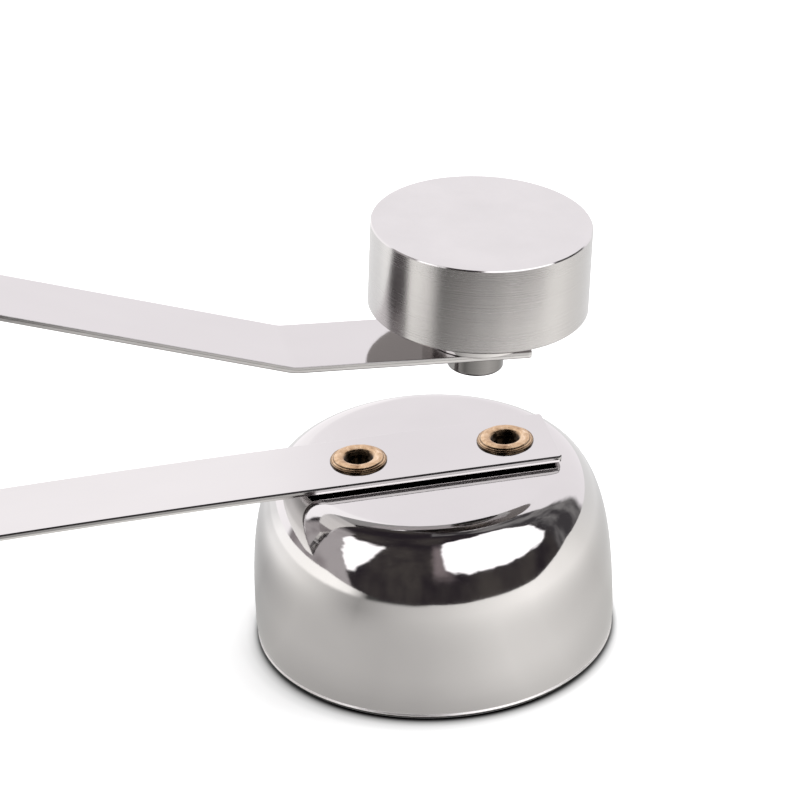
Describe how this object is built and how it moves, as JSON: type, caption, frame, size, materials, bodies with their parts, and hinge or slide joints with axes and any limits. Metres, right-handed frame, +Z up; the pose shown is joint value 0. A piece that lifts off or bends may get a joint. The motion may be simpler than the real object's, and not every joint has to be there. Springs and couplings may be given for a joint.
{
  "type": "egg topper",
  "caption": "Spring-strip egg topper: bell cup with a cutting rim riveted under the lower arm, and a knocker weight on the sprung upper arm that strikes over the cup.",
  "frame": {"origin": "under the middle of the whole object's box, on the plane of the cup's rim that it stands on", "axes": "+X along the spring strip, from the bow (hand grip) to the free tips; +Z up through the cup; +Y across the strip"},
  "size_m": [0.1169, 0.0358, 0.0555],
  "materials": {
    "strip_steel": "mirror-polished spring steel, satin sheared edges",
    "cup_steel": "mirror-polished deep-drawn stainless steel, satin inside",
    "eyelet_bronze": "bronze-coloured rolled eyelet, lightly tarnished in the creases",
    "weight_steel": "turned steel, fine circumferential lines, polished end face",
    "collar_steel": "bright turned steel",
    "screw_steel": "polished domed head, darker than the strip"
  },
  "bodies": {
    "base": {"cup": "cup_steel", "lower_arm": "strip_steel", "lower_bow": "strip_steel", "rear_eyelet": "eyelet_bronze", "front_eyelet": "eyelet_bronze"},
    "striker_arm": {"upper_bow": "strip_steel", "upper_arm": "strip_steel", "knocker_weight": "weight_steel", "spacer_collar": "collar_steel", "striker_screw": "screw_steel"}
  },
  "joints": [
    {"name": "arm_flex", "type": "hinge", "parent": "base", "child": "striker_arm", "pos_m": [-0.03961, 0, 0.03669], "axis": [0, -1, 0], "range_deg": [-5.3, 10], "stiffness_Nm_per_rad": 0.36, "springref_deg": 3.86}
  ]
}
